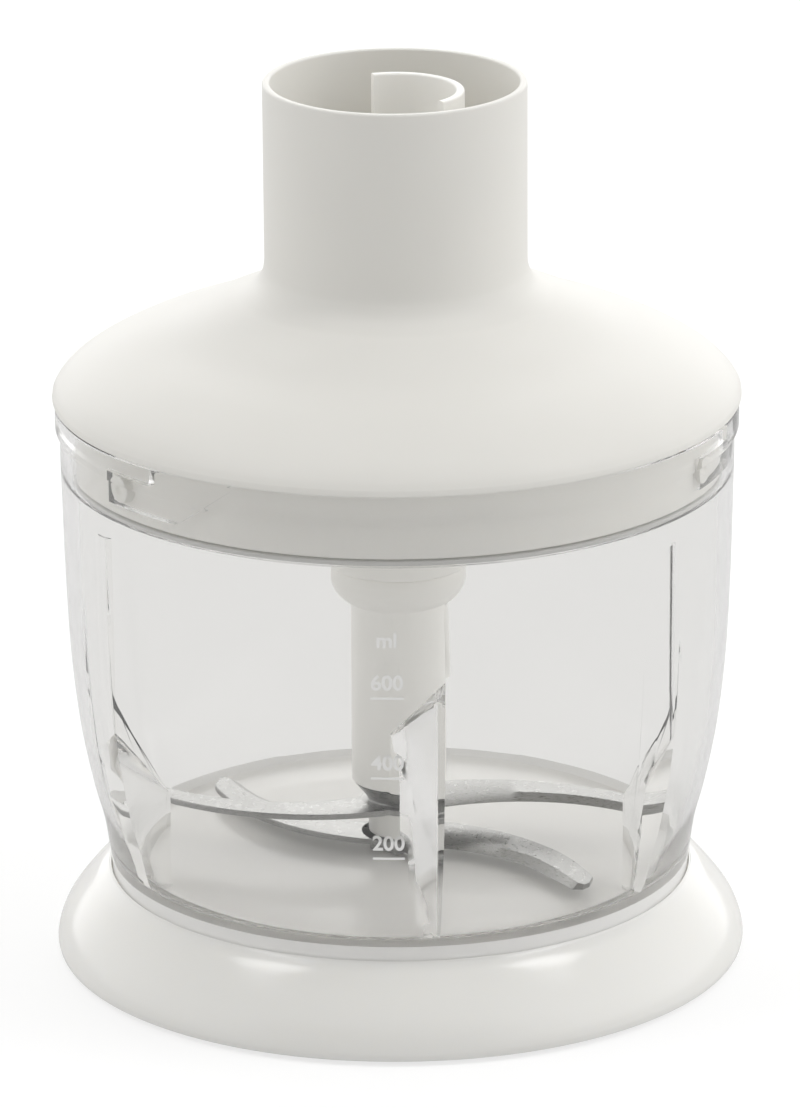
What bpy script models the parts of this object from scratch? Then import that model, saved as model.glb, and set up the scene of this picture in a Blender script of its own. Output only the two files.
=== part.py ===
"""Chopper bowl for a hand blender: base, clear bowl, geared lid and four-winged blade.

Units are metres, +Z is up and -Y is the front, where the scale is. The origin is on the floor,
under the middle of the base. Every turned piece shares the Z axis.
"""

import math

import bmesh
import bpy

MM = 0.001
GAP = 0.3 * MM  # between pieces that touch

# Facets round a turned piece
COARSE = 24
FINE = 48

# Base
BASE_RADIUS = 71.0 * MM
BASE_HEIGHT = 18.2 * MM
BASE_SLOPE = 11.0 * MM  # from the lip out to the foot
BASE_WALL = 2.2 * MM
DISH_DEPTH = 3.2 * MM
DISH_THICKNESS = 1.8 * MM
FLANGE_Z = 0.9 * MM
FLANGE_THICKNESS = 3.2 * MM
GRIP_INSET = 3.0 * MM
GRIP_WIDTH = 6.0 * MM
GRIP_HEIGHT = 2.2 * MM

# Bowl
BOWL_WALL = 2.5 * MM
BOWL_RIM_Z = 118.0 * MM
RIM_LIP_HEIGHT = 5.6 * MM
RIM_LIP = 0.9 * MM
BOWL_MOUTH_RADIUS = 66.0 * MM
SHOULDER_DROP = 15.0 * MM  # below the rim
SHOULDER_WIDTH = 1.2 * MM
FOOT_HEIGHT = 2.2 * MM
FOOT_WIDTH = 3.5 * MM
FLOOR_THICKNESS = 3.3 * MM

# Saw-tooth baffles inside the bowl, each swept back from its radial face
BAFFLE_DEPTH = 13.4 * MM
BAFFLE_SWEEP = 10.0
TALL_BAFFLE = 278.0
TALL_HEIGHTS = (47.0 * MM, 51.0 * MM, 58.0 * MM)  # above the floor: ramp foot, tip, root
SHORT_BAFFLES = (208.5, 328.5, 88.5)
SHORT_HEIGHTS = (28.0 * MM, 21.0 * MM, 36.0 * MM)
RIB_DEPTH = 2.5 * MM  # the low rib that carries a short baffle's face up the wall
RIB_SWEEP = 5.0
RIB_SET_BACK = 0.6  # of its face behind the baffle's face
RIB_DROP = 5.0 * MM  # from the shoulder down to its top

# Bayonet between lid and bowl
PIN_ANGLES = (215.0, 335.0, 95.0)
PIN_RADIUS = 2.9 * MM
PIN_REACH = 1.8 * MM
PIN_DROP = 7.2 * MM  # below the bowl's rim
SLOT_CLEARANCE = 0.4 * MM
LID_TURN = 12.0
SLOT_LEAD = 12.0  # the slot's sloping way in, past the pin's free place

# Lid
LID_OVERHANG = 0.6 * MM
LID_WALL = 2.1 * MM
DOME_HEIGHT = 26.0 * MM
COLLAR_RADIUS = 26.6 * MM
COLLAR_WALL = 1.5 * MM
COLLAR_HEIGHT = 39.4 * MM  # above the dome
COLLAR_DEPTH = 33.8 * MM
COLLAR_FLOOR = 2.4 * MM
SKIRT_CLEARANCE = 0.6 * MM
SKIRT_WALL = 2.0 * MM
SEAL_HEIGHT = 1.0 * MM
GUIDE_INSET = 11.1 * MM
GUIDE_WALL = 1.7 * MM
GUIDE_ARC = (-46.0, 110.0)
GUIDE_DROP = 1.8 * MM

# Gear train
MODULE = 0.9 * MM
SUN_TEETH = 12
PLANET_TEETH = 15
RING_TEETH = SUN_TEETH + 2 * PLANET_TEETH
PLANETS = 3
GEAR_WIDTH = 8.5 * MM
GEAR_BACKLASH = 0.28 * MM
RING_BODY = 3.6 * MM
CARRIER_THICKNESS = 3.5 * MM
COVER_THICKNESS = 2.5 * MM
BOX_DROP = 5.0 * MM  # from the bowl's rim down to the gearbox's lower edge
BOX_WALL = 2.2 * MM
PLUG_WALL = 3.5 * MM
SCREW_RADIUS = 1.2 * MM
SCREW_BOSS_RADIUS = 3.2 * MM
INPUT_SHAFT_RADIUS = 2.0 * MM
OUTPUT_SHAFT_RADIUS = 2.5 * MM
PLANET_PIN_RADIUS = 1.5 * MM
BUSH_WALL = 1.7 * MM

# Drive bell under the lid and the blade unit below it
BELL_RADIUS = 14.7 * MM
BELL_WALL = 3.0 * MM
BELL_DROP = 6.4 * MM  # below the gearbox
BELL_HEIGHT = 23.3 * MM
DOGS = 3
DOG_ARC = 14.0
DOG_DEPTH = 2.4 * MM
DOG_CLEARANCE = 0.4 * MM
HEAD_HEIGHT = 14.0 * MM
SHOULDER_HEIGHT = 7.6 * MM
STEM_RADIUS = 9.75 * MM
TANG_WALL = 1.0 * MM
BLADE_THICKNESS = 1.2 * MM
BLADE_REACH_GAP = 1.1 * MM  # from the upper blade's tips to the baffles
UPPER_BLADE_HEIGHT = 9.6 * MM  # above the bowl's floor
LOWER_BLADE_HEIGHT = 2.3 * MM
LOWER_BLADE_TURN = -34.0
LOWER_BLADE_SHORTER = 1.5 * MM
BLADE_ROOT_CHORD = 13.0 * MM
BLADE_TIP_CHORD = 7.0 * MM
BLADE_SWEEP = (24.0, -7.5)  # azimuth of a wing's middle line at its root and tip
SPINDLE_RADIUS = 2.0 * MM
SPINDLE_HEIGHT = 38.9 * MM  # above the bowl's floor
RUNNING_GAP = 0.3 * MM

# Values that follow from the ones above
BASE_LIP_RADIUS = BASE_RADIUS - BASE_SLOPE
GRIP_OUTER_RADIUS = BASE_RADIUS - GRIP_INSET
GRIP_INNER_RADIUS = GRIP_OUTER_RADIUS - GRIP_WIDTH
DISH_FLOOR_Z = BASE_HEIGHT - DISH_DEPTH
DISH_RADIUS = BASE_LIP_RADIUS - 0.3 * MM
FOOT_RADIUS = DISH_RADIUS - GAP
FOOT_Z = DISH_FLOOR_Z + GAP
FLOOR_Z = FOOT_Z + FOOT_HEIGHT + FLOOR_THICKNESS
SHOULDER_Z = BOWL_RIM_Z - SHOULDER_DROP
BAFFLE_TIP_RADIUS = BOWL_MOUTH_RADIUS - BAFFLE_DEPTH
LID_RADIUS = BOWL_MOUTH_RADIUS + BOWL_WALL + RIM_LIP + LID_OVERHANG
LID_RIM_Z = BOWL_RIM_Z + 0.4 * MM
COLLAR_BORE = COLLAR_RADIUS - COLLAR_WALL
COLLAR_TOP_Z = LID_RIM_Z + DOME_HEIGHT + COLLAR_HEIGHT
COLLAR_FLOOR_Z = COLLAR_TOP_Z - COLLAR_DEPTH
GUIDE_RADIUS = COLLAR_BORE - GUIDE_INSET
SKIRT_RADIUS = BOWL_MOUTH_RADIUS - SKIRT_CLEARANCE
SEAL_Z = SHOULDER_Z + GAP
SKIRT_BOTTOM_Z = SEAL_Z + SEAL_HEIGHT + GAP
PIN_Z = BOWL_RIM_Z - PIN_DROP
SLOT_RADIUS = SKIRT_RADIUS + PIN_REACH + SLOT_CLEARANCE
RING_PITCH_RADIUS = MODULE * RING_TEETH / 2
RING_RADIUS = RING_PITCH_RADIUS + 1.2 * MODULE + RING_BODY
BOX_RADIUS = RING_RADIUS + GAP
CENTRE_DISTANCE = MODULE * (SUN_TEETH + PLANET_TEETH) / 2
BOX_BOTTOM_Z = BOWL_RIM_Z - BOX_DROP
COVER_Z = BOX_BOTTOM_Z - GAP - COVER_THICKNESS
CARRIER_Z = BOX_BOTTOM_Z + 1.6 * MM
GEAR_Z = CARRIER_Z + CARRIER_THICKNESS + 0.7 * MM
RING_TOP_Z = GEAR_Z + GEAR_WIDTH + 1.2 * MM
BOX_STEP_Z = RING_TOP_Z + GAP
COVER_SCREW_CIRCLE = BOX_RADIUS + BOX_WALL + SCREW_BOSS_RADIUS + 0.7 * MM
COVER_RADIUS = COVER_SCREW_CIRCLE + SCREW_BOSS_RADIUS + 0.3 * MM
INPUT_BORE = INPUT_SHAFT_RADIUS + RUNNING_GAP
OUTPUT_BORE = OUTPUT_SHAFT_RADIUS + RUNNING_GAP
INPUT_BUSH_RADIUS = INPUT_BORE + BUSH_WALL
OUTPUT_BUSH_RADIUS = OUTPUT_BORE + BUSH_WALL
BELL_TOP_Z = BOX_BOTTOM_Z - BELL_DROP
BELL_BOTTOM_Z = BELL_TOP_Z - BELL_HEIGHT
BELL_BORE = BELL_RADIUS - BELL_WALL
HEAD_RADIUS = BELL_BORE - DOG_DEPTH - DOG_CLEARANCE
SHOULDER_RADIUS = BELL_RADIUS - 0.9 * MM
STEM_TOP_Z = BELL_BOTTOM_Z - GAP
UPPER_BLADE_Z = FLOOR_Z + UPPER_BLADE_HEIGHT
LOWER_BLADE_Z = FLOOR_Z + LOWER_BLADE_HEIGHT
STEM_BOTTOM_Z = UPPER_BLADE_Z + 5.6 * MM
SPINDLE_TOP_Z = FLOOR_Z + SPINDLE_HEIGHT
HUB_BORE = SPINDLE_RADIUS + 1.9 * MM
TANG_RADIUS = HUB_BORE + TANG_WALL
CORE_RADIUS = TANG_RADIUS + 1.5 * MM
NUT_RADIUS = TANG_RADIUS + 2.1 * MM
TANG_BOTTOM_Z = FLOOR_Z + 0.8 * MM
BLADE_BORE = TANG_RADIUS + GAP


def waist():
    """Points down the outside of the bowl, from below its shoulder to its foot."""
    wall = BOWL_MOUTH_RADIUS + BOWL_WALL
    drop = wall - FOOT_RADIUS
    rise = SHOULDER_Z - 4 * MM - BASE_HEIGHT
    shares = [
        (0.0, 1.0),
        (0.066, 0.79),
        (0.154, 0.58),
        (0.33, 0.394),
        (0.58, 0.245),
        (0.81, 0.146),
        (0.934, 0.06),
        (1.0, 0.0),
    ]
    return [(wall - drop * out, BASE_HEIGHT + rise * up) for out, up in shares]


def bowl_outer_outline():
    """Outside of the bowl from its rim down to its foot."""
    wall = BOWL_MOUTH_RADIUS + BOWL_WALL
    lip = wall + RIM_LIP
    lip_z = BOWL_RIM_Z - RIM_LIP_HEIGHT
    outline = [(lip, BOWL_RIM_Z), (lip, lip_z), (wall, lip_z - RIM_LIP)]
    return outline + waist() + [(FOOT_RADIUS, FOOT_Z)]


def bowl_inner_outline():
    """Inside of the bowl from its rim down to the floor's edge."""
    wall = BOWL_MOUTH_RADIUS - SHOULDER_WIDTH
    outline = [
        (BOWL_MOUTH_RADIUS, BOWL_RIM_Z + MM),
        (BOWL_MOUTH_RADIUS, SHOULDER_Z),
        (wall, SHOULDER_Z),
    ]
    walls = (1.24, 1.08, 0.96, 0.92, 0.92)  # in bowl walls, thinner towards the foot
    for (radius, height), thick in zip(waist()[1:6], walls):
        outline.append((radius - BOWL_WALL * thick, height))
    edge = outline[-1][0] - 1.4 * MM
    floor_edge = [
        (edge, FLOOR_Z + 4.5 * MM),
        (edge - 2.0 * MM, FLOOR_Z + 1.0 * MM),
        (edge - 4.6 * MM, FLOOR_Z),
    ]
    return outline + floor_edge


def blade_reach():
    """Radius of the upper blade: clear of the baffles and of the rounded edge of the floor."""
    return min(BAFFLE_TIP_RADIUS, bowl_inner_outline()[-1][0]) - BLADE_REACH_GAP


def lid_dome_outline():
    """Outside of the lid from the collar's root down to its rim, as shares of the dome's size."""
    reach = LID_RADIUS - COLLAR_RADIUS
    shares = [
        (0.0, 1.10),
        (0.005, 1.0),
        (0.04, 0.90),
        (0.157, 0.785),
        (0.305, 0.67),
        (0.455, 0.56),
        (0.648, 0.44),
        (0.797, 0.325),
        (0.912, 0.22),
        (0.98, 0.12),
        (1.0, 0.05),
    ]
    return [(COLLAR_RADIUS + reach * out, LID_RIM_Z + DOME_HEIGHT * up) for out, up in shares]


def start_scene():
    for obj in list(bpy.data.objects):
        bpy.data.objects.remove(obj)
    for name in ("food_chopper", "cutters"):
        collection = bpy.data.collections.new(name)
        bpy.context.scene.collection.children.link(collection)
    bpy.data.collections["cutters"].hide_render = True


def plastic(name, color, roughness, alpha=1.0, transmission=0.0):
    material = bpy.data.materials.new(name)
    material.use_nodes = True
    shader = material.node_tree.nodes["Principled BSDF"]
    shader.inputs["Base Color"].default_value = (*color, 1.0)
    shader.inputs["Roughness"].default_value = roughness
    shader.inputs["Alpha"].default_value = alpha
    shader.inputs["Transmission Weight"].default_value = transmission
    return material


def metal(name, color, roughness):
    material = plastic(name, color, roughness)
    material.node_tree.nodes["Principled BSDF"].inputs["Metallic"].default_value = 1.0
    return material


def new_object(name, mesh, material=None):
    """Links a mesh as a part or, with no material, as a cutter."""
    obj = bpy.data.objects.new(name, mesh)
    if material is None:
        obj.hide_render = True
        obj.display_type = "WIRE"
        bpy.data.collections["cutters"].objects.link(obj)
    else:
        mesh.materials.append(material)
        bpy.data.collections["food_chopper"].objects.link(obj)
    return obj


def turned(name, outline, material=None, facets=COARSE, closed=True):
    """Turns an outline of (radius, height) points about Z. It runs down its outer side."""
    mesh = bpy.data.meshes.new(name)
    count = len(outline)
    edges = [(i, i + 1) for i in range(count - 1)]
    if closed:
        edges.append((count - 1, 0))
    mesh.from_pydata([(radius, 0.0, height) for radius, height in outline], edges, [])
    obj = new_object(name, mesh, material)
    screw = obj.modifiers.new("Turn", "SCREW")
    screw.axis = "Z"
    screw.steps = facets
    screw.render_steps = facets
    screw.use_merge_vertices = True
    screw.merge_threshold = 0.00001
    screw.use_smooth_shade = True
    return obj


def ring(name, inner, outer, low, high, material=None, facets=COARSE):
    """A tube, or a solid bar when inner is 0."""
    if inner == 0:
        outline = [(0.0, high), (outer, high), (outer, low), (0.0, low)]
        return turned(name, outline, material, facets, closed=False)
    outline = [(inner, high), (outer, high), (outer, low), (inner, low)]
    return turned(name, outline, material, facets)


def extruded(name, points, low, high, material=None):
    """A flat outline, counter-clockwise, made solid between two heights."""
    mesh = bpy.data.meshes.new(name)
    shape = bmesh.new()
    face = shape.faces.new([shape.verts.new((x, y, low)) for x, y in points])
    made = bmesh.ops.extrude_face_region(shape, geom=[face])
    tops = [item for item in made["geom"] if isinstance(item, bmesh.types.BMVert)]
    bmesh.ops.translate(shape, vec=(0, 0, high - low), verts=tops)
    bmesh.ops.recalc_face_normals(shape, faces=shape.faces)
    shape.to_mesh(mesh)
    shape.free()
    return new_object(name, mesh, material)


def cut(obj, cutter, operation="DIFFERENCE"):
    modifier = obj.modifiers.new(cutter.name, "BOOLEAN")
    modifier.operation = operation
    modifier.solver = "EXACT"
    modifier.object = cutter


def polar(radius, degrees):
    angle = math.radians(degrees)
    return radius * math.cos(angle), radius * math.sin(angle)


def arc(radius, start, stop, steps):
    """Points along an arc, end points included."""
    return [polar(radius, start + (stop - start) * i / steps) for i in range(steps + 1)]


def sector(name, inner, outer, start, stop, low, high, material=None, steps=6):
    """A curved wall between two radii and two azimuths."""
    points = arc(outer, start, stop, steps) + arc(inner, stop, start, steps)
    return extruded(name, points, low, high, material)


def rod(name, radius, position, low, high, material=None, facets=12):
    """A round bar along Z that stands off the middle."""
    mesh = bpy.data.meshes.new(name)
    shape = bmesh.new()
    bmesh.ops.create_cone(
        shape, cap_ends=True, segments=facets, radius1=radius, radius2=radius, depth=high - low
    )
    shape.to_mesh(mesh)
    shape.free()
    obj = new_object(name, mesh, material)
    obj.location = (position[0], position[1], (low + high) / 2)
    return obj


# --- Base -------------------------------------------------------------------------------------


def make_base(frosted, soft):
    rise = BASE_HEIGHT
    shares = [
        (0.0, 1.0),
        (0.2, 0.89),
        (0.42, 0.75),
        (0.664, 0.58),
        (0.845, 0.42),
        (0.955, 0.26),
        (1.0, 0.11),
    ]
    outside = [(BASE_LIP_RADIUS + BASE_SLOPE * out, rise * up) for out, up in shares]
    outside.append((BASE_RADIUS - 0.5 * MM, FLANGE_Z))
    flange_top = FLANGE_Z + FLANGE_THICKNESS
    dish_bottom = DISH_FLOOR_Z - DISH_THICKNESS
    flange_inner = GRIP_INNER_RADIUS - BASE_WALL
    inside = [
        (flange_inner, FLANGE_Z),
        (flange_inner, flange_top),
        (BASE_RADIUS - BASE_WALL - 0.7 * MM, flange_top),
        (BASE_LIP_RADIUS + 0.82 * BASE_SLOPE - BASE_WALL, rise * 0.40),
        (BASE_LIP_RADIUS + 0.55 * BASE_SLOPE - BASE_WALL, rise * 0.58),
        (BASE_LIP_RADIUS + 0.31 * BASE_SLOPE - BASE_WALL, dish_bottom),
        (0.0, dish_bottom),
    ]
    outline = [(0.0, DISH_FLOOR_Z), (DISH_RADIUS, DISH_FLOOR_Z), (DISH_RADIUS, rise)]
    base = turned("base_ring", outline + outside + inside, frosted, FINE, closed=False)
    groove = ring(
        "grip_groove",
        GRIP_INNER_RADIUS - GAP,
        GRIP_OUTER_RADIUS + GAP,
        -MM,
        GRIP_HEIGHT + GAP,
        facets=FINE,
    )
    cut(base, groove)
    ring("grip_ring", GRIP_INNER_RADIUS, GRIP_OUTER_RADIUS, 0.0, GRIP_HEIGHT, soft, FINE)


# --- Bowl -------------------------------------------------------------------------------------


def make_baffle(name, azimuth, sweep, tip_radius, heights):
    """One saw tooth: a ramp up to its tip, then a radial face back to the wall."""
    wall = max(BOWL_MOUTH_RADIUS, FOOT_RADIUS) + MM
    points = [
        polar(wall, azimuth - sweep),
        polar(wall * 1.01, azimuth - sweep / 2),
        polar(wall, azimuth),
        polar(tip_radius, azimuth),
    ]
    baffle = extruded(name, points, FLOOR_Z - MM, FLOOR_Z + max(heights))
    foot, tip, root = heights
    tops = {0: foot, 1: (foot + root) / 2, 2: root, 3: tip}
    for vertex in baffle.data.vertices:
        if vertex.co.z > FLOOR_Z:
            nearest = min(tops, key=lambda i: math.dist(points[i], vertex.co.xy))
            vertex.co.z = FLOOR_Z + tops[nearest]
    return baffle


def make_baffles():
    """Every baffle and rib that stands into the bowl's cavity."""
    tall = make_baffle("tall_baffle", TALL_BAFFLE, BAFFLE_SWEEP, BAFFLE_TIP_RADIUS, TALL_HEIGHTS)
    baffles = [tall]
    rib_top = SHOULDER_Z - RIB_DROP - FLOOR_Z
    for i, azimuth in enumerate(SHORT_BAFFLES):
        short = make_baffle(
            f"short_baffle_{i}", azimuth, BAFFLE_SWEEP, BAFFLE_TIP_RADIUS, SHORT_HEIGHTS
        )
        rib_radius = BOWL_MOUTH_RADIUS - RIB_DEPTH
        face = azimuth - RIB_SET_BACK
        rib = make_baffle(f"short_rib_{i}", face, RIB_SWEEP, rib_radius, (rib_top,) * 3)
        baffles += [short, rib]
    return baffles


def make_slot_lead(name, start, inner_radius, low):
    """The wedge that leads a pin down from the bowl's rim into its slot."""
    stop = start + SLOT_LEAD
    wedge = sector(name, inner_radius, SLOT_RADIUS, start - 0.5, stop, low, BOWL_RIM_Z + MM)
    for vertex in wedge.data.vertices:
        if vertex.co.z < BOWL_RIM_Z:
            azimuth = math.degrees(math.atan2(vertex.co.y, vertex.co.x))
            share = min(max(((azimuth - start + 180) % 360 - 180) / SLOT_LEAD, 0), 1)
            vertex.co.z = low + (BOWL_RIM_Z - low) * share
    return wedge


def make_bowl(clear, steel):
    outer = [(0.0, BOWL_RIM_Z)] + bowl_outer_outline() + [(0.0, FOOT_Z)]
    bowl = turned("bowl", outer, clear, FINE, closed=False)
    inner = bowl_inner_outline()
    cavity = turned(
        "bowl_cavity",
        [(0.0, inner[0][1])] + inner + [(0.0, FLOOR_Z)],
        facets=FINE,
        closed=False,
    )
    for baffle in make_baffles():
        cut(cavity, baffle)
    cut(bowl, cavity)
    boss = SPINDLE_RADIUS + 5 * MM
    recess_outer = FOOT_RADIUS - FOOT_WIDTH
    cut(bowl, ring("foot_recess", boss, recess_outer, FOOT_Z - MM, FOOT_Z + FOOT_HEIGHT, facets=FINE))
    cut(bowl, ring("spindle_bore", 0, SPINDLE_RADIUS + GAP, FOOT_Z + 0.6 * MM, FLOOR_Z + MM))
    half_pin = math.degrees((PIN_RADIUS + SLOT_CLEARANCE) / SKIRT_RADIUS)
    slot_low = PIN_Z - PIN_RADIUS - SLOT_CLEARANCE
    slot_high = PIN_Z + PIN_RADIUS + SLOT_CLEARANCE
    inner_radius = BOWL_MOUTH_RADIUS - MM
    for i, azimuth in enumerate(PIN_ANGLES):
        start = azimuth - half_pin
        entry = azimuth + LID_TURN
        end = entry + half_pin
        way_in = entry - half_pin
        run = sector(f"slot_run_{i}", inner_radius, SLOT_RADIUS, start, end, slot_low, slot_high)
        mouth = sector(
            f"slot_mouth_{i}", inner_radius, SLOT_RADIUS, way_in, end, PIN_Z, BOWL_RIM_Z + MM
        )
        lead = make_slot_lead(f"slot_lead_{i}", end, inner_radius, slot_low)
        cut(bowl, run)
        cut(bowl, mouth)
        cut(bowl, lead)
    ring("spindle", 0, SPINDLE_RADIUS, FOOT_Z + 0.9 * MM, SPINDLE_TOP_Z, steel, 16)


# --- Lid --------------------------------------------------------------------------------------


def dome_height(radius):
    """Height of the lid's outside at this radius."""
    dome = lid_dome_outline()
    for (r0, z0), (r1, z1) in zip(dome, dome[1:]):
        if r0 <= radius <= r1:
            return z0 + (z1 - z0) * (radius - r0) / (r1 - r0)
    return dome[-1][1]


def lid_inside_outline():
    """Underside of the lid's dome, from the skirt in to the collar's bore."""
    dome = lid_dome_outline()
    under = [(radius - 0.25 * LID_WALL, height - LID_WALL) for radius, height in dome[3:9]]
    roof = under[0][1]
    return [(SKIRT_RADIUS - SKIRT_WALL, under[-1][1])] + under[-2::-1] + [(COLLAR_BORE, roof)]


def make_lid_shell(white):
    inside = lid_inside_outline()
    outline = [(COLLAR_BORE, COLLAR_TOP_Z), (COLLAR_RADIUS, COLLAR_TOP_Z)]
    outline += lid_dome_outline()
    outline += [
        (LID_RADIUS - 0.2 * MM, LID_RIM_Z),
        (SKIRT_RADIUS, LID_RIM_Z),
        (SKIRT_RADIUS, SKIRT_BOTTOM_Z),
        (SKIRT_RADIUS - SKIRT_WALL, SKIRT_BOTTOM_Z),
    ]
    lid = turned("lid_shell", outline + inside, white, FINE)
    boss_top = dome_height(COVER_SCREW_CIRCLE + SCREW_BOSS_RADIUS) - 0.5 * LID_WALL
    for i in range(PLANETS):
        place = polar(COVER_SCREW_CIRCLE, 120 * i + 30)
        boss = rod(f"screw_boss_{i}", SCREW_BOSS_RADIUS, place, BOX_BOTTOM_Z, boss_top)
        cut(lid, boss, "UNION")
        hole = rod(
            f"screw_hole_{i}", SCREW_RADIUS + GAP, place, BOX_BOTTOM_Z - MM, BOX_BOTTOM_Z + 11 * MM
        )
        cut(lid, hole)
    for i, azimuth in enumerate(PIN_ANGLES):
        pin = rod(f"lock_pin_{i}", PIN_RADIUS, (0, 0), -MM, PIN_REACH, facets=16)
        x, y = polar(SKIRT_RADIUS, azimuth)
        pin.location = (x, y, PIN_Z)
        pin.rotation_euler = (0, math.radians(90), math.radians(azimuth))
        cut(lid, pin, "UNION")


def make_gear_housing(white):
    """The insert that holds the gears. It closes the collar's lower end and carries its guide."""
    shoulder = lid_inside_outline()[-1][1] - GAP
    box_outer = BOX_RADIUS + BOX_WALL
    step_bore = min(COLLAR_BORE - GAP - PLUG_WALL, BOX_RADIUS - 2.0 * MM)
    floor_bottom = COLLAR_FLOOR_Z - COLLAR_FLOOR
    shaft_bore = INPUT_BUSH_RADIUS + GAP
    housing = turned(
        "gear_housing",
        [
            (shaft_bore, COLLAR_FLOOR_Z),
            (COLLAR_BORE - GAP, COLLAR_FLOOR_Z),
            (COLLAR_BORE - GAP, shoulder),
            (box_outer, shoulder),
            (box_outer, BOX_BOTTOM_Z),
            (BOX_RADIUS, BOX_BOTTOM_Z),
            (BOX_RADIUS, BOX_STEP_Z),
            (step_bore, BOX_STEP_Z),
            (step_bore, floor_bottom),
            (shaft_bore, floor_bottom),
        ],
        white,
        FINE,
    )
    low = COLLAR_FLOOR_Z - MM
    high = COLLAR_TOP_Z - GUIDE_DROP
    inner = GUIDE_RADIUS - GUIDE_WALL
    guide = sector("coupling_guide", inner, GUIDE_RADIUS, *GUIDE_ARC, low, high, steps=12)
    cut(housing, guide, "UNION")


def make_lid_inside(white, steel, bronze, rubber):
    """What closes and guides the gear train, all fixed to the lid."""
    boss = OUTPUT_BUSH_RADIUS + 3.5 * MM
    boss_bottom = COVER_Z - 2.2 * MM
    seal_radius = OUTPUT_BUSH_RADIUS + 1.0 * MM
    seal_top = boss_bottom + 1.5 * MM
    top = COVER_Z + COVER_THICKNESS
    cover = turned(
        "gearbox_cover",
        [
            (OUTPUT_BUSH_RADIUS + GAP, top),
            (COVER_RADIUS, top),
            (COVER_RADIUS, COVER_Z),
            (boss, COVER_Z),
            (boss, boss_bottom),
            (seal_radius + GAP, boss_bottom),
            (seal_radius + GAP, seal_top + GAP),
            (OUTPUT_BUSH_RADIUS + GAP, seal_top + GAP),
        ],
        white,
        36,
    )
    for i in range(PLANETS):
        place = polar(COVER_SCREW_CIRCLE, 120 * i + 30)
        cut(cover, rod(f"cover_hole_{i}", SCREW_RADIUS + GAP, place, COVER_Z - MM, top + MM))
        head_bottom = COVER_Z - GAP - 1.4 * MM
        head = rod(f"cover_screw_{i + 1}", 2.5 * MM, place, head_bottom, COVER_Z - GAP, steel)
        shank = rod(
            f"screw_shank_{i}", SCREW_RADIUS, place, COVER_Z - MM, BOX_BOTTOM_Z + 10 * MM
        )
        cut(head, shank, "UNION")
        slot = rod(f"screw_slot_{i}", 1.1 * MM, place, head_bottom - MM, head_bottom + 0.8 * MM, facets=6)
        cut(head, slot)
    bush_flange = OUTPUT_BUSH_RADIUS + 1.3 * MM
    turned(
        "output_bush",
        [
            (OUTPUT_BORE, top + 1.2 * MM),
            (bush_flange, top + 1.2 * MM),
            (bush_flange, top + GAP),
            (OUTPUT_BUSH_RADIUS, top + GAP),
            (OUTPUT_BUSH_RADIUS, seal_top + 2 * GAP),
            (OUTPUT_BORE, seal_top + 2 * GAP),
        ],
        bronze,
    )
    ring("shaft_seal", OUTPUT_BORE, seal_radius, boss_bottom, seal_top, rubber)
    floor_bottom = COLLAR_FLOOR_Z - COLLAR_FLOOR
    in_flange = INPUT_BUSH_RADIUS + 1.6 * MM
    turned(
        "input_bush",
        [
            (INPUT_BORE, COLLAR_FLOOR_Z),
            (INPUT_BUSH_RADIUS, COLLAR_FLOOR_Z),
            (INPUT_BUSH_RADIUS, floor_bottom - GAP),
            (in_flange, floor_bottom - GAP),
            (in_flange, floor_bottom - 1.5 * MM),
            (INPUT_BORE, floor_bottom - 1.5 * MM),
        ],
        bronze,
    )


def make_seal(rubber):
    inner = SKIRT_RADIUS - SKIRT_WALL + 0.2 * MM
    outer = BOWL_MOUTH_RADIUS - GAP
    ring("lid_seal", inner, outer, SEAL_Z, SEAL_Z + SEAL_HEIGHT, rubber, FINE)


# --- Gear train -------------------------------------------------------------------------------


def tooth_outline(teeth, turn, inside=False):
    """Outline of a gear with its first tooth at this azimuth, or of the opening in a ring gear."""
    pitch = MODULE * teeth / 2
    side = 1 if inside else -1
    tip = pitch + (1.0 + 0.15 * side) * MODULE
    root = pitch - (1.0 - 0.15 * side) * MODULE
    width = (math.pi * MODULE / 2 + side * GEAR_BACKLASH) / 2
    lean = 0.42
    points = []
    for i in range(teeth):
        middle = turn + 360 * i / teeth
        for radius, flank in ((root, -1), (tip, -1), (tip, 1), (root, 1)):
            half = width - lean * (radius - pitch)
            points.append(polar(radius, middle + flank * math.degrees(half / radius)))
    return points


def make_gear(name, teeth, turn, bore, place, material):
    """A spur gear, its origin on its own axis."""
    gear = extruded(name, tooth_outline(teeth, turn), GEAR_Z, GEAR_Z + GEAR_WIDTH, material)
    gear.location = (place[0], place[1], 0)
    hole = ring(f"{name}_bore", 0, bore, GEAR_Z - MM, GEAR_Z + GEAR_WIDTH + MM, facets=16)
    hole.location = gear.location
    cut(gear, hole)
    return gear


def planet_turn(azimuth):
    """How far a planet at this azimuth is turned, so that its teeth fall between the sun's."""
    sun_phase = azimuth / (360 / SUN_TEETH)
    return azimuth + 180 - (360 / PLANET_TEETH) * (0.5 - sun_phase)


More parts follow.
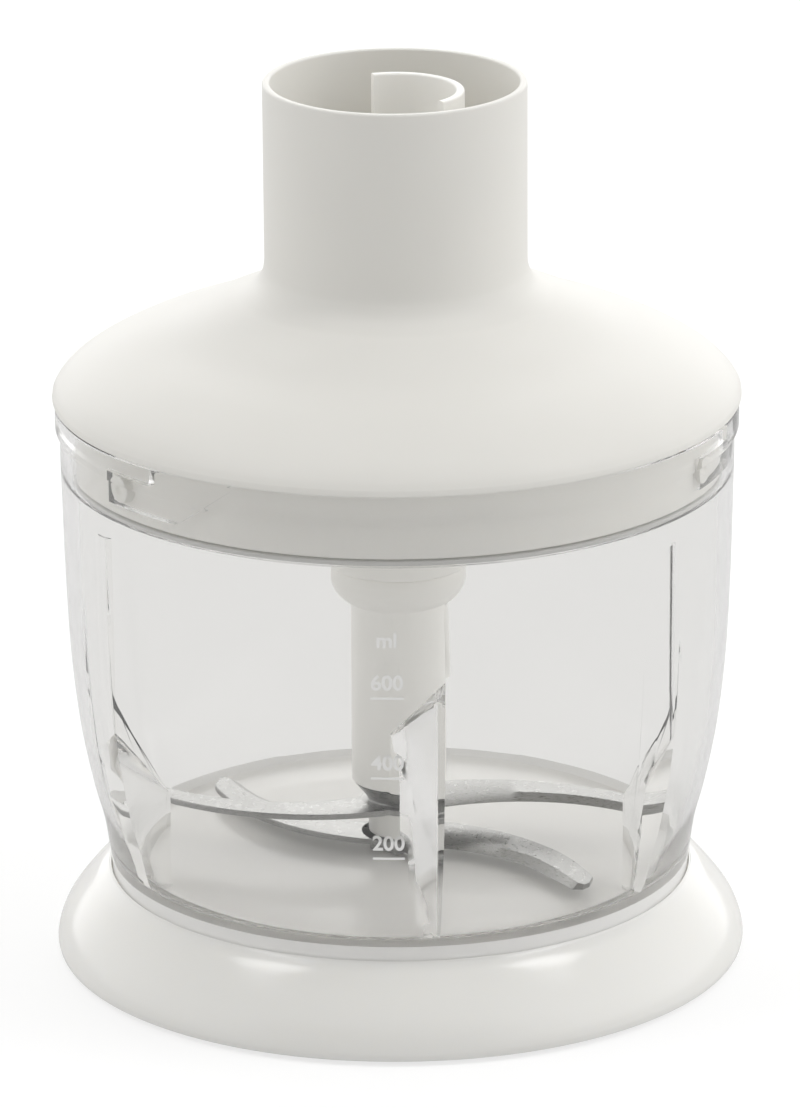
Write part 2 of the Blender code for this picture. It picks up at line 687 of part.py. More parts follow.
def make_gears(plastic_gear, steel):
    make_gear("sun_gear", SUN_TEETH, 0.0, INPUT_BORE, (0, 0), steel)
    pin_top = GEAR_Z + GEAR_WIDTH + 0.6 * MM
    carrier_top = CARRIER_Z + CARRIER_THICKNESS
    carrier_radius = CENTRE_DISTANCE + 4.6 * MM
    carrier = ring(
        "carrier", OUTPUT_BORE, carrier_radius, CARRIER_Z, carrier_top, plastic_gear, 32
    )
    for i in range(PLANETS):
        azimuth = 360 * i / PLANETS
        place = polar(CENTRE_DISTANCE, azimuth)
        bore = PLANET_PIN_RADIUS + RUNNING_GAP
        make_gear(
            f"planet_gear_{i + 1}", PLANET_TEETH, planet_turn(azimuth), bore, place, plastic_gear
        )
        rod(f"planet_pin_{i + 1}", PLANET_PIN_RADIUS, place, CARRIER_Z + 0.4 * MM, pin_top, steel)
        hole = rod(f"pin_hole_{i}", bore, place, CARRIER_Z - MM, GEAR_Z)
        cut(carrier, hole)
    body = ring(
        "ring_gear", RING_PITCH_RADIUS - 2 * MODULE, RING_RADIUS, BOX_BOTTOM_Z, RING_TOP_Z,
        plastic_gear, FINE
    )
    teeth = extruded(
        "ring_gear_opening",
        tooth_outline(RING_TEETH, 0.0, inside=True),
        BOX_BOTTOM_Z - MM,
        RING_TOP_Z + MM,
    )
    cut(body, teeth)


def make_drive(white, grey, steel):
    shaft_top = COLLAR_FLOOR_Z + 7.0 * MM
    ring("input_shaft", 0, INPUT_SHAFT_RADIUS, GEAR_Z, shaft_top, steel, 16)
    coupling_low = COLLAR_FLOOR_Z + 1.0 * MM
    coupling_top = COLLAR_FLOOR_Z + 13.0 * MM
    coupling = ring("input_coupling", 0, 7.5 * MM, coupling_low, coupling_top, grey)
    bore = ring("coupling_bore", 0, INPUT_BORE, coupling_low - MM, shaft_top + GAP, facets=16)
    cut(coupling, bore)
    socket = ring("coupling_socket", 0, 4.6 * MM, shaft_top + MM, coupling_top + MM, facets=6)
    cut(coupling, socket)
    for i in range(6):
        flute = rod(
            f"coupling_flute_{i}", 1.6 * MM, polar(8.0 * MM, 60 * i), coupling_low + 3 * MM,
            coupling_top + MM, facets=8
        )
        cut(coupling, flute)

    ring("output_shaft", 0, OUTPUT_SHAFT_RADIUS, BELL_TOP_Z - 5 * MM, CARRIER_Z + 3.2 * MM, steel, 16)
    crown = BELL_TOP_Z - 6 * MM
    bell = turned(
        "output_coupling",
        [
            (OUTPUT_BORE, BELL_TOP_Z),
            (BELL_RADIUS - 3 * MM, BELL_TOP_Z),
            (BELL_RADIUS - 0.9 * MM, BELL_TOP_Z - 4 * MM),
            (BELL_RADIUS - 0.9 * MM, BELL_BOTTOM_Z + 3.4 * MM),
            (BELL_RADIUS, BELL_BOTTOM_Z + 2.6 * MM),
            (BELL_RADIUS, BELL_BOTTOM_Z),
            (BELL_BORE, BELL_BOTTOM_Z),
            (BELL_BORE, crown),
            (OUTPUT_BORE, crown),
        ],
        white,
        36,
    )
    for i in range(DOGS):
        middle = 360 * i / DOGS
        dog = sector(
            f"bell_dog_{i}", BELL_BORE - DOG_DEPTH, BELL_BORE + MM, middle - DOG_ARC / 2,
            middle + DOG_ARC / 2, BELL_BOTTOM_Z + MM, crown + MM, steps=2
        )
        cut(bell, dog, "UNION")


# --- Blade unit -------------------------------------------------------------------------------


def make_hub(white):
    head_top = STEM_TOP_Z + HEAD_HEIGHT
    shoulder_bottom = STEM_TOP_Z - SHOULDER_HEIGHT
    hub = turned(
        "blade_hub",
        [
            (0.0, head_top),
            (HEAD_RADIUS - MM, head_top),
            (HEAD_RADIUS, head_top - MM),
            (HEAD_RADIUS, STEM_TOP_Z),
            (SHOULDER_RADIUS - 0.8 * MM, STEM_TOP_Z),
            (SHOULDER_RADIUS, STEM_TOP_Z - 1.5 * MM),
            (SHOULDER_RADIUS, STEM_TOP_Z - 4.0 * MM),
            (SHOULDER_RADIUS - 1.2 * MM, STEM_TOP_Z - 6.2 * MM),
            (SHOULDER_RADIUS - 3.0 * MM, shoulder_bottom),
            (STEM_RADIUS, shoulder_bottom),
            (STEM_RADIUS, STEM_BOTTOM_Z),
            (TANG_RADIUS, STEM_BOTTOM_Z),
            (TANG_RADIUS, TANG_BOTTOM_Z),
            (HUB_BORE, TANG_BOTTOM_Z),
            (HUB_BORE, SPINDLE_TOP_Z + GAP),
            (0.0, SPINDLE_TOP_Z + GAP),
        ],
        white,
        32,
        closed=False,
    )
    for i in range(DOGS):
        middle = 360 * i / DOGS + 180 / DOGS
        dog = sector(
            f"hub_dog_{i}", HEAD_RADIUS - MM, BELL_BORE - DOG_CLEARANCE, middle - DOG_ARC / 2,
            middle + DOG_ARC / 2, STEM_TOP_Z - 0.5 * MM, head_top - 2 * MM, steps=2
        )
        cut(hub, dog, "UNION")


def blade_outline(radius, turn):
    """Both sickle wings and the disc between them, counter-clockwise."""
    steps = 8
    disc = CORE_RADIUS + 1.6 * MM
    root_half = math.degrees(math.asin(BLADE_ROOT_CHORD / 2 / disc))
    points = []
    for side in (0, 180):
        lead, trail = [], []
        for i in range(steps + 1):
            share = i / steps
            reach = disc + (radius - disc) * share
            middle = turn + side + BLADE_SWEEP[0] + (BLADE_SWEEP[1] - BLADE_SWEEP[0]) * share
            chord = BLADE_ROOT_CHORD + (BLADE_TIP_CHORD - BLADE_ROOT_CHORD) * share
            half = math.degrees(math.asin(chord / 2 / reach))
            tip_cut = 3.0 * MM * share**6
            lead.append(polar(reach - tip_cut, middle - half))
            trail.append(polar(reach, middle + half))
        edge = turn + side + BLADE_SWEEP[0] + root_half
        points += lead + trail[::-1] + arc(disc, edge, edge + 180 - 2 * root_half, 5)[1:-1]
    return points


def make_blade(name, radius, turn, low, steel, boss_top=None):
    """A flat two-winged blade. Its boss, where it has one, rises as a cone to the hub's stem."""
    high = low + BLADE_THICKNESS
    blade = extruded(name, blade_outline(radius, turn), low, high, steel)
    if boss_top:
        middle = (low + high) / 2
        outline = [(0.0, boss_top), (STEM_RADIUS - 0.4 * MM, boss_top), (CORE_RADIUS, middle), (0.0, middle)]
        cut(blade, turned(f"{name}_boss", outline, closed=False), "UNION")
    cut(blade, ring(f"{name}_bore", 0, BLADE_BORE, low - MM, STEM_BOTTOM_Z))
    return blade


def make_blade_unit(white, steel, bronze):
    make_hub(white)
    reach = blade_reach()
    make_blade("upper_blade", reach, 0.0, UPPER_BLADE_Z, steel, STEM_BOTTOM_Z - GAP)
    lower_reach = reach - LOWER_BLADE_SHORTER
    make_blade("lower_blade", lower_reach, LOWER_BLADE_TURN, LOWER_BLADE_Z, steel)
    lower_top = LOWER_BLADE_Z + BLADE_THICKNESS
    ring("blade_spacer", BLADE_BORE, CORE_RADIUS, lower_top + GAP, UPPER_BLADE_Z - GAP, white)
    nut_low = TANG_BOTTOM_Z - 0.2 * MM
    nut = ring("blade_nut", 0, NUT_RADIUS, nut_low, LOWER_BLADE_Z - GAP, steel, 6)
    cut(nut, ring("nut_bore", 0, BLADE_BORE, nut_low - MM, LOWER_BLADE_Z))
    bush_inner = SPINDLE_RADIUS + RUNNING_GAP
    bush_low = TANG_BOTTOM_Z + MM
    bush_high = SPINDLE_TOP_Z - 4 * MM
    ring("spindle_bush", bush_inner, HUB_BORE - RUNNING_GAP, bush_low, bush_high, bronze, 16)


def main():
    start_scene()
    white = plastic("white_plastic", (0.80, 0.79, 0.76), 0.45)
    clear = plastic("clear_plastic", (0.95, 0.96, 0.95), 0.05, alpha=0.35, transmission=1.0)
    frosted = plastic("frosted_plastic", (0.88, 0.88, 0.86), 0.35, alpha=0.8, transmission=0.5)
    soft = plastic("soft_rubber", (0.85, 0.85, 0.83), 0.6)
    hub = plastic("hub_plastic", (0.79, 0.78, 0.75), 0.4)
    grey = plastic("grey_plastic", (0.45, 0.45, 0.45), 0.5)
    gear_plastic = plastic("gear_plastic", (0.85, 0.83, 0.75), 0.4)
    steel = metal("stainless_steel", (0.62, 0.62, 0.61), 0.25)
    bronze = metal("bearing_bronze", (0.62, 0.45, 0.25), 0.35)
    make_base(frosted, soft)
    make_bowl(clear, steel)
    make_seal(soft)
    make_lid_shell(white)
    make_gear_housing(white)
    make_lid_inside(white, steel, bronze, soft)
    make_gears(gear_plastic, steel)
    make_drive(hub, grey, steel)
    make_blade_unit(hub, steel, bronze)


main()
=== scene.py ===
"""Chopper bowl of a hand blender: fine surfaces, materials, light and camera on the CAD frame.

Metres, +Z up, -Y is the front. Every turned piece shares the Z axis. Each fine piece follows the
size of the CAD node that it replaces.
"""

import bisect
import math

import bmesh
import bpy
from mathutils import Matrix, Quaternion, Vector


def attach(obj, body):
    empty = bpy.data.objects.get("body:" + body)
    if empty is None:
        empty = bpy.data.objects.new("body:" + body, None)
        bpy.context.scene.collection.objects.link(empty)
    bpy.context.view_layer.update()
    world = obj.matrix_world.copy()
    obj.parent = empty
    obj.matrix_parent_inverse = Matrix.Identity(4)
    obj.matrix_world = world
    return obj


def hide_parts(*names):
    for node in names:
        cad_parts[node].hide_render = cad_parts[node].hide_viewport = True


MM = 0.001
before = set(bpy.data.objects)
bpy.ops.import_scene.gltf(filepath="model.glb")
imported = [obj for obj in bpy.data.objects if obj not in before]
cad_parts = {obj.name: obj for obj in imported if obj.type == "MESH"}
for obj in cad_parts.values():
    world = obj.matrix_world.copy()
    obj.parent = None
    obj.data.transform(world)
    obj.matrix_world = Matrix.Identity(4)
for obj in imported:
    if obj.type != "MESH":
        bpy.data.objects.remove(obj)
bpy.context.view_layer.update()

# Heights and radii shared with the CAD, in millimetres
RIM_Z = 118.0
MOUTH_R = 66.0
SHOULDER_Z = 103.0
FLOOR_Z = 20.8
FOOT_Z = 15.3
PIN_Z = 110.8
PIN_R = 2.9
PIN_AZ = (215.0, 335.0, 95.0)
LID_TURN = 12.0
SLOT_LEAD = 12.0
# Baffles: azimuths of their faces, and heights above the floor of ramp foot, tip and root
TALL = ((278.0,), (47.0, 51.0, 58.0))
SHORT = ((208.5, 328.5, 88.5), (28.0, 21.0, 36.0))
SWEEP = 10.0
TIP_R = 52.6
RIB_SWEEP = 5.0
RIB_SET_BACK = 0.6
RIB_R = 63.5
RIB_TOP = 98.0
SLOT_R = 67.6
BLADE_THICKNESS = 1.2
DISC_R = 8.0


# --- Outlines ---------------------------------------------------------------------------------


def rounded(corners, closed=False, steps=5):
    """A (radius, height, fillet) outline with each corner turned into an arc."""
    out = []
    count = len(corners)
    for i, (r, z, fillet) in enumerate(corners):
        ends = not closed and i in (0, count - 1)
        if ends or fillet <= 0:
            out.append((r, z))
            continue
        here = Vector((r, z))
        before = Vector(corners[i - 1][:2]) - here
        after = Vector(corners[(i + 1) % count][:2]) - here
        reach = min(fillet, 0.45 * before.length, 0.45 * after.length)
        start = here + before.normalized() * reach
        stop = here + after.normalized() * reach
        for k in range(steps + 1):
            t = k / steps
            point = start * (1 - t) ** 2 + here * 2 * t * (1 - t) + stop * t**2
            out.append((point.x, point.y))
    return out


def flowing(points, per=6):
    """A smooth curve through (radius, height) points."""
    out = []
    count = len(points)
    for i in range(count - 1):
        p0 = Vector(points[max(i - 1, 0)])
        p1 = Vector(points[i])
        p2 = Vector(points[i + 1])
        p3 = Vector(points[min(i + 2, count - 1)])
        for k in range(per):
            t = k / per
            a = 2 * p1 + (p2 - p0) * t
            b = (2 * p0 - 5 * p1 + 4 * p2 - p3) * t**2
            c = (3 * p1 - p0 - 3 * p2 + p3) * t**3
            point = (a + b + c) / 2
            out.append((point.x, point.y))
    out.append(tuple(points[-1]))
    return out


def polar(radius, azimuth):
    angle = math.radians(azimuth)
    return radius * math.cos(angle), radius * math.sin(angle)


# --- Mesh helpers -----------------------------------------------------------------------------


def add_object(name, mesh, material, body, nodes=()):
    obj = bpy.data.objects.new(name, mesh)
    bpy.context.scene.collection.objects.link(obj)
    if material:
        mesh.materials.append(material)
    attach(obj, body)
    if nodes:
        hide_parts(*nodes)
    return obj


def shaded(mesh, sharp=32.0):
    mesh.shade_smooth()
    mesh.set_sharp_from_angle(angle=math.radians(sharp))
    return mesh


def closed_mesh(name, shape):
    """Turns a finished bmesh, with its faces set to look outward, into mesh data."""
    bmesh.ops.recalc_face_normals(shape, faces=shape.faces)
    mesh = bpy.data.meshes.new(name)
    shape.to_mesh(mesh)
    shape.free()
    return mesh


def skin(name, columns, loop):
    """A mesh from columns of (x, y, z) points in millimetres. A point at x = y = 0 is shared."""
    shape = bmesh.new()
    grid = []
    poles = {}
    for column in columns:
        row = []
        for x, y, z in column:
            if abs(x) < 1e-9 and abs(y) < 1e-9:
                key = round(z, 6)
                if key not in poles:
                    poles[key] = shape.verts.new((0, 0, z * MM))
                row.append(poles[key])
            else:
                row.append(shape.verts.new((x * MM, y * MM, z * MM)))
        grid.append(row)
    rows = len(grid[0])
    for i, left in enumerate(grid):
        right = grid[(i + 1) % len(grid)]
        for k in range(rows if loop else rows - 1):
            n = (k + 1) % rows
            corners = []
            for vert in (left[k], left[n], right[n], right[k]):
                if vert not in corners:
                    corners.append(vert)
            if len(corners) > 2:
                shape.faces.new(corners)
    return closed_mesh(name, shape)


def open_skin(name, columns):
    """A bar through closed cross sections, with both its ends shut."""
    shape = bmesh.new()
    grid = [[shape.verts.new(Vector(p) * MM) for p in column] for column in columns]
    rows = len(grid[0])
    for left, right in zip(grid, grid[1:]):
        for k in range(rows):
            n = (k + 1) % rows
            shape.faces.new((left[k], left[n], right[n], right[k]))
    shape.faces.new(grid[0])
    shape.faces.new(grid[-1][::-1])
    return closed_mesh(name, shape)


def lathe_mesh(name, outline, steps=160):
    """Turns an outline about Z. It is closed on itself unless both its ends are on the axis."""
    loop = not (outline[0][0] == 0 and outline[-1][0] == 0)
    columns = []
    for i in range(steps):
        azimuth = 360 * i / steps
        columns.append([(*polar(r, azimuth), z) for r, z in outline])
    return skin(name, columns, loop)


def lathe(name, outline, material, body, nodes=(), steps=160, sharp=32.0):
    mesh = shaded(lathe_mesh(name, outline, steps), sharp)
    return add_object(name, mesh, material, body, nodes)


def prism_mesh(name, points, low, high, bevel=0.0):
    """A flat outline in millimetres made solid between two heights."""
    shape = bmesh.new()
    face = shape.faces.new([shape.verts.new((x * MM, y * MM, low * MM)) for x, y in points])
    made = bmesh.ops.extrude_face_region(shape, geom=[face])
    tops = [item for item in made["geom"] if isinstance(item, bmesh.types.BMVert)]
    bmesh.ops.translate(shape, vec=(0, 0, (high - low) * MM), verts=tops)
    if bevel:
        edges = [e for e in shape.edges if len(e.link_faces) == 2 and e.calc_face_angle() > 0.5]
        bmesh.ops.bevel(
            shape, geom=edges, offset=bevel * MM, segments=3, profile=0.5, affect="EDGES"
        )
    return closed_mesh(name, shape)


def joined(name, meshes):
    """One mesh from several that don't touch or that sink into each other."""
    shape = bmesh.new()
    for mesh in meshes:
        shape.from_mesh(mesh)
    out = bpy.data.meshes.new(name)
    shape.to_mesh(out)
    shape.free()
    return out


# --- Materials --------------------------------------------------------------------------------


def new_material(name):
    material = bpy.data.materials.new(name)
    material.use_nodes = True
    nodes = material.node_tree.nodes
    return material, nodes, material.node_tree.links, nodes["Principled BSDF"]


def object_noise(nodes, links, scale, detail=2.0, stretch=(1, 1, 1)):
    """Noise in object space. Scale counts features per metre."""
    place = nodes.new("ShaderNodeTexCoord")
    mapping = nodes.new("ShaderNodeMapping")
    mapping.inputs["Scale"].default_value = stretch
    noise = nodes.new("ShaderNodeTexNoise")
    noise.inputs["Scale"].default_value = scale
    noise.inputs["Detail"].default_value = detail
    links.new(place.outputs["Object"], mapping.inputs["Vector"])
    links.new(mapping.outputs["Vector"], noise.inputs["Vector"])
    return noise.outputs["Fac"]


def between(nodes, links, fac, low, high):
    """Maps a 0 to 1 value to a range."""
    span = nodes.new("ShaderNodeMapRange")
    span.inputs["From Min"].default_value = 0.3
    span.inputs["From Max"].default_value = 0.7
    span.inputs["To Min"].default_value = low
    span.inputs["To Max"].default_value = high
    links.new(fac, span.inputs["Value"])
    return span.outputs["Result"]


def tinted(nodes, links, fac, low, high):
    """Mixes two colours by a 0 to 1 value."""
    ramp = nodes.new("ShaderNodeValToRGB")
    ramp.color_ramp.elements[0].position = 0.3
    ramp.color_ramp.elements[1].position = 0.7
    ramp.color_ramp.elements[0].color = (*low, 1)
    ramp.color_ramp.elements[1].color = (*high, 1)
    links.new(fac, ramp.inputs["Fac"])
    return ramp.outputs["Color"]


def bumped(nodes, links, fac, strength, distance):
    bump = nodes.new("ShaderNodeBump")
    bump.inputs["Strength"].default_value = strength
    bump.inputs["Distance"].default_value = distance
    links.new(fac, bump.inputs["Height"])
    return bump.outputs["Normal"]


def moulded(name, color, roughness, grain=2600.0, depth=0.00002, subsurface=0.0, ior=1.46):
    """Moulded plastic: a fine grain, with slight wander in colour and gloss."""
    material, nodes, links, shader = new_material(name)
    wander = object_noise(nodes, links, 38.0)
    low = tuple(c * 0.985 for c in color)
    high = tuple(min(1, c * 1.01) for c in color)
    links.new(tinted(nodes, links, wander, low, high), shader.inputs["Base Color"])
    links.new(
        between(nodes, links, wander, roughness * 0.92, roughness * 1.08),
        shader.inputs["Roughness"],
    )
    grained = object_noise(nodes, links, grain, 3.0)
    links.new(bumped(nodes, links, grained, 0.35, depth), shader.inputs["Normal"])
    shader.inputs["IOR"].default_value = ior
    if subsurface:
        shader.inputs["Subsurface Weight"].default_value = subsurface
        shader.inputs["Subsurface Radius"].default_value = (1.0, 0.9, 0.75)
        shader.inputs["Subsurface Scale"].default_value = 0.002
    return material


def clear(name, color, roughness, clarity):
    """Clear moulded plastic, with the faint waviness that a moulded wall has."""
    material, nodes, links, shader = new_material(name)
    shader.inputs["Base Color"].default_value = (*color, 1)
    shader.inputs["Transmission Weight"].default_value = clarity
    shader.inputs["IOR"].default_value = 1.2
    waves = object_noise(nodes, links, 26.0, 1.0)
    links.new(
        between(nodes, links, waves, roughness, roughness * 1.6), shader.inputs["Roughness"]
    )
    links.new(bumped(nodes, links, waves, 0.25, 0.0004), shader.inputs["Normal"])
    return material


def milky(name, color):
    """Frosted plastic that lets light through."""
    material, nodes, links, shader = new_material(name)
    wander = object_noise(nodes, links, 30.0)
    low = tuple(c * 0.985 for c in color)
    links.new(tinted(nodes, links, wander, low, color), shader.inputs["Base Color"])
    shader.inputs["Roughness"].default_value = 0.14
    shader.inputs["IOR"].default_value = 1.52
    shader.inputs["Subsurface Weight"].default_value = 0.4
    shader.inputs["Subsurface Radius"].default_value = (1.0, 0.95, 0.85)
    shader.inputs["Subsurface Scale"].default_value = 0.004
    grained = object_noise(nodes, links, 1800.0, 3.0)
    links.new(bumped(nodes, links, grained, 0.2, 0.00002), shader.inputs["Normal"])
    return material


def brushed(name, color, roughness, stretch=(1, 1, 14)):
    """Metal with fine tool marks along one direction."""
    material, nodes, links, shader = new_material(name)
    marks = object_noise(nodes, links, 900.0, 3.0, stretch)
    low = tuple(c * 0.88 for c in color)
    links.new(tinted(nodes, links, marks, low, color), shader.inputs["Base Color"])
    shader.inputs["Metallic"].default_value = 1.0
    links.new(
        between(nodes, links, marks, roughness * 0.8, roughness * 1.3), shader.inputs["Roughness"]
    )
    links.new(bumped(nodes, links, marks, 0.15, 0.00003), shader.inputs["Normal"])
    return material


WHITE = moulded("lid_white", (0.715, 0.703, 0.66), 0.4, subsurface=0.06, ior=1.3)
# Painted light: a lighter copy of the lid's white plastic. It stands in for light on the skirt and
# the collar's insert, which sit in shade.
LID_WHITE_PAINTED_LIGHT = moulded("lid_white_painted_light", (0.90, 0.888, 0.845), 0.45, subsurface=0.06)
HUB = moulded("hub_white", (0.93, 0.92, 0.885), 0.36, grain=2200.0)
GREY = moulded("coupling_grey", (0.30, 0.30, 0.30), 0.42)
GEAR = moulded("gear_natural", (0.70, 0.67, 0.56), 0.38)
RUBBER = moulded("seal_rubber", (0.60, 0.60, 0.585), 0.62, grain=1500.0, depth=0.00004)
CLEAR = clear("bowl_clear", (0.985, 0.982, 0.972), 0.01, 0.98)
CLEAR_FLOOR = clear("bowl_frosted_floor", (0.995, 0.99, 0.975), 0.15, 0.35)
MILKY = milky("base_frosted", (0.82, 0.812, 0.775))
# Painted light: the base's dish is the same frosted plastic as the rest of the base, made much
# lighter to stand in for light reaching it under the bowl's floor.
DISH_PAINTED_LIGHT = milky("base_dish_painted_light", (0.96, 0.955, 0.93))
STEEL = brushed("blade_steel", (0.26, 0.26, 0.254), 0.3)
DARK_STEEL = brushed("pin_steel", (0.50, 0.50, 0.49), 0.2, (1, 1, 1))
BRONZE = brushed("bush_bronze", (0.60, 0.42, 0.22), 0.35, (1, 1, 1))
FROST = moulded("scale_frost", (0.86, 0.86, 0.845), 0.5, grain=3000.0)


# --- Bowl -------------------------------------------------------------------------------------

BOWL_OUTER = flowing(
    [
        (68.5, 112.0),
        (68.45, 105.0),
        (68.3, 99.0),
        (67.9, 82.0),
        (67.1, 65.0),
        (65.5, 50.0),
        (63.2, 38.0),
        (61.1, 30.0),
        (60.0, 23.0),
        (59.4, 18.6),
    ]
)
BOWL_WALL = flowing(
    [
        (64.8, 102.0),
        (64.8, 92.0),
        (64.8, 82.0),
        (64.4, 65.0),
        (63.1, 50.0),
        (60.9, 38.0),
        (58.9, 30.5),
        (57.4, 25.3),
    ]
)
WALL_FOOT = flowing([(57.4, 25.3), (56.7, 23.3), (55.2, 21.5), (53.0, 20.8)], 4)


def wall_at(height):
    """Radius of the bowl's inner wall at this height."""
    heights = [z for _, z in reversed(BOWL_WALL)]
    radii = [r for r, _ in reversed(BOWL_WALL)]
    i = min(max(bisect.bisect_left(heights, height), 1), len(heights) - 1)
    t = (height - heights[i - 1]) / (heights[i] - heights[i - 1])
    return radii[i - 1] + (radii[i] - radii[i - 1]) * min(max(t, 0), 1)


def ramp_radius(azimuth, face, sweep=SWEEP, tip=TIP_R):
    """Where a ramp is, at this azimuth, for a saw tooth whose radial face is at face."""
    start = Vector(polar(MOUTH_R + 1.0, face - sweep))
    run = Vector(polar(tip, face)) - start
    ray = Vector(polar(1.0, azimuth))
    return (start.x * run.y - start.y * run.x) / (ray.x * run.y - ray.y * run.x)


def rib_at(azimuth):
    """Radius of the low rib above a short baffle at this azimuth, or a large one."""
    for baffle in SHORT[0]:
        face = baffle - RIB_SET_BACK
        back = (face - azimuth + 180) % 360 - 180
        if 0 <= back <= RIB_SWEEP:
            return ramp_radius(azimuth, face, RIB_SWEEP, RIB_R)
    return 999.0


def baffle_at(azimuth, faces, heights):
    """(radius of the ramp, height of its top at the wall and at the ramp), or None."""
    foot, tip, root = heights
    for face in faces:
        back = (face - azimuth + 180) % 360 - 180
        if 0 <= back <= SWEEP:
            share = 1 - back / SWEEP
            top_wall = FLOOR_Z + foot + (root - foot) * share
            top_ramp = FLOOR_Z + foot + (tip - foot) * share
            return ramp_radius(azimuth, face), top_wall, top_ramp
    return None


def slot_at(azimuth):
    """(lowest and highest height, radius) of the bayonet slot's bed at this azimuth.

    Away from a slot the bed is the plain wall.
    """
    half = math.degrees((PIN_R + 0.4) / (MOUTH_R - 0.6))
    low, high = PIN_Z - PIN_R - 0.4, PIN_Z + PIN_R + 0.4
    top = RIM_Z - 0.5
    for pin in PIN_AZ:
        along = (azimuth - pin + 180) % 360 - 180
        past = along - LID_TURN - half
        lead = min(max(past, 0.0) / SLOT_LEAD, 1.0)
        if -half <= along and past <= SLOT_LEAD:
            opens = along >= LID_TURN - half
            bed = low + (top - 0.1 - low) * lead
            return bed, top if opens else high, SLOT_R - (SLOT_R - MOUTH_R - 0.1) * lead
        if 0 < past - SLOT_LEAD <= 20:
            back = (past - SLOT_LEAD) / 20
            return top - 0.1 + (low - top + 0.1) * back, top + (high - top) * back, MOUTH_R
    return low, high, MOUTH_R


def bowl_column(azimuth, look):
    """The bowl's whole outline at one azimuth, with its features read at another beside it."""
    baffle = baffle_at(look, *TALL) or baffle_at(look, *SHORT)
    low, high, deep = slot_at(look)
    rim_r = deep if high > RIM_Z - 1 else MOUTH_R
    outer = [
        (0.0, FOOT_Z, 0),
        (7.0, FOOT_Z, 0.3),
        (7.0, FOOT_Z + 2.2, 0.4),
        (55.9, FOOT_Z + 2.2, 0.6),
        (55.9, FOOT_Z, 0.4),
        (59.4, FOOT_Z, 0.5),
        (59.4, 18.6, 0),
    ]
    points = rounded(outer, steps=3) + BOWL_OUTER[-2::-1]
    lip = [(68.5, 112.2, 0), (69.4, 112.7, 0.4), (69.4, RIM_Z, 0.5)]
    points += rounded(lip + [(rim_r, RIM_Z, 0.5), (rim_r, 117.4, 0)])[1:-1]
    points += [
        (rim_r, RIM_Z - 0.5),
        (rim_r, high + 0.02),
        (deep, high),
        (deep, (high + low) / 2),
        (deep, low),
        (MOUTH_R, low - 0.02),
        (MOUTH_R, 105.0),
        (MOUTH_R, 103.5),
        (65.85, 103.15),
        (65.5, SHOULDER_Z),
        (65.1, SHOULDER_Z),
        (64.85, 102.8),
        (64.8, 102.4),
    ]
    ramp, top_wall, top_ramp = baffle if baffle else (999.0, 66.0, 62.0)
    rib = rib_at(look)
    for k in range(4):
        z = 102.0 + (RIB_TOP + 0.25 - 102.0) * k / 3
        points.append((wall_at(z), z))
    points.append((min(wall_at(RIB_TOP), rib + 0.25), RIB_TOP))
    for k in range(8):
        z = RIB_TOP - 0.3 + (top_wall - RIB_TOP + 0.3) * k / 7
        points.append((min(wall_at(z), rib), z))
    outer_edge = min(wall_at(top_wall), rib)
    inner = min(outer_edge, ramp)
    for share in (0.08, 0.35, 0.7, 0.93):
        z = top_wall + (top_ramp - top_wall) * share
        if baffle:
            points.append((outer_edge + (inner - outer_edge) * share, z))
        else:
            points.append((min(wall_at(z), rib), z))
    for k in range(13):
        drop = 0.35 if k == 0 and baffle else 0.0
        z = top_ramp - drop + (25.3 - top_ramp + drop) * k / 12
        points.append((min(wall_at(z), ramp), z))
    points += [(min(r, ramp), z) for r, z in WALL_FOOT[1:]]
    points += [(44.0, FLOOR_Z), (30.0, FLOOR_Z), (15.0, FLOOR_Z), (6.0, FLOOR_Z)]
    points += [(2.9, FLOOR_Z), (2.45, 20.6), (2.3, 20.2), (2.3, 16.0), (0.0, 15.95)]
    return [(*polar(r, azimuth), z) for r, z in points]


def bowl_steps():
    """(where a column stands, where its features are read) round the bowl, in order.

    A baffle's or rib's face is a sheer step. A slot's ends are sloped over a little of the wall.
    """
    steps = {round(1.5 * i, 4): ((0, 0),) for i in range(240)}
    half = math.degrees((PIN_R + 0.4) / (MOUTH_R - 0.6))
    faces = TALL[0] + SHORT[0]
    for jump in faces + tuple(face - RIB_SET_BACK for face in SHORT[0]):
        steps[round(jump % 360, 4)] = ((-0.004, -0.02), (0.004, 0.02))
    for face in faces:
        for back in (0.25, 1.0, RIB_SWEEP, RIB_SWEEP + 0.2, SWEEP, SWEEP - 0.5):
            steps.setdefault(round((face - back) % 360, 4), ((0, 0),))
    for pin in PIN_AZ:
        for jump in (pin - half, pin + LID_TURN - half):
            for near in [step for step in steps if abs(step - jump % 360) < 0.5]:
                del steps[near]
            steps[round(jump % 360, 4)] = ((-0.3, -0.32), (0.3, 0.32))
    return [(at + shift, at + look) for at in sorted(steps) for shift, look in steps[at]]


def make_bowl():
    columns = [bowl_column(azimuth, look) for azimuth, look in bowl_steps()]
    mesh = shaded(skin("bowl_clear_wall", columns, False), 28.0)
    add_object("bowl_clear_wall", mesh, CLEAR, "bowl", ("bowl",))
    mesh.materials.append(CLEAR_FLOOR)
    for face in mesh.polygons:
        face.material_index = int(face.center.z < (FLOOR_Z + 0.6) * MM)


